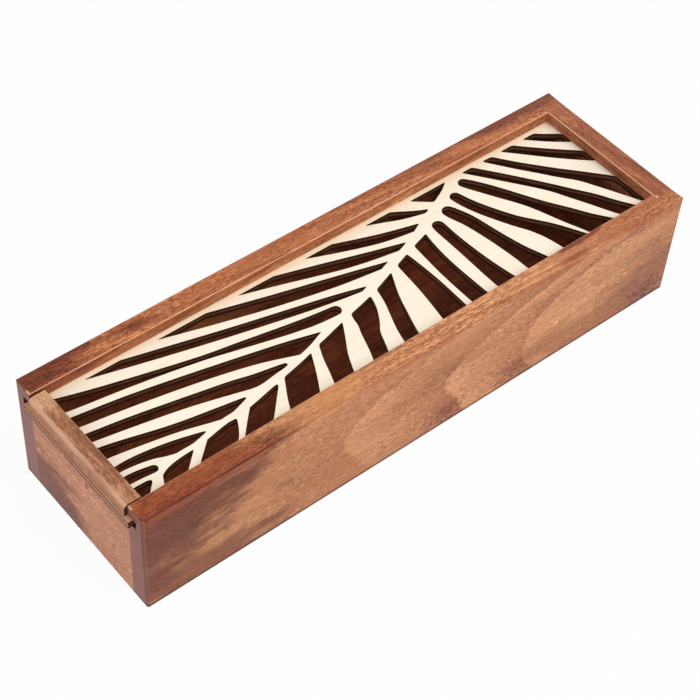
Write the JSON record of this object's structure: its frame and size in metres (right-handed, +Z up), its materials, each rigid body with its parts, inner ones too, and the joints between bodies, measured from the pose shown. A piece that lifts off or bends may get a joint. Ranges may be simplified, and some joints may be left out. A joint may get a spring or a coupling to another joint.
{
  "type": "sliding lid box",
  "caption": "Long hardwood box whose thin plywood lid, pierced with a palm frond, slides out along grooves in its sides by a pull rail at the front end.",
  "frame": {"origin": "under the middle of the whole part, on the surface the box stands on", "axes": "+X along the box from the lid's pull rail to the closed end, +Y across it, +Z up"},
  "size_m": [0.2518, 0.075, 0.05],
  "materials": {
    "side_wood": "oiled reddish-brown hardwood, satin",
    "end_wood": "oiled reddish-brown hardwood, satin",
    "front_wood": "oiled pale pinkish hardwood, satin",
    "bottom_wood": "oiled dark hardwood, matt",
    "plywood": "fine sanded pale plywood with charred cut edges",
    "rail_wood": "oiled tan hardwood, satin"
  },
  "bodies": {
    "case": {"near_side_board": "side_wood", "far_side_board": "side_wood", "end_board": "end_wood", "front_board": "front_wood", "bottom_panel": "bottom_wood"},
    "lid": {"lid_panel": "plywood", "lid_rail": "rail_wood"}
  },
  "joints": [
    {"name": "lid_slide", "type": "slide", "parent": "case", "child": "lid", "axis": [-1, 0, 0], "range_m": [0, 0.25]}
  ]
}
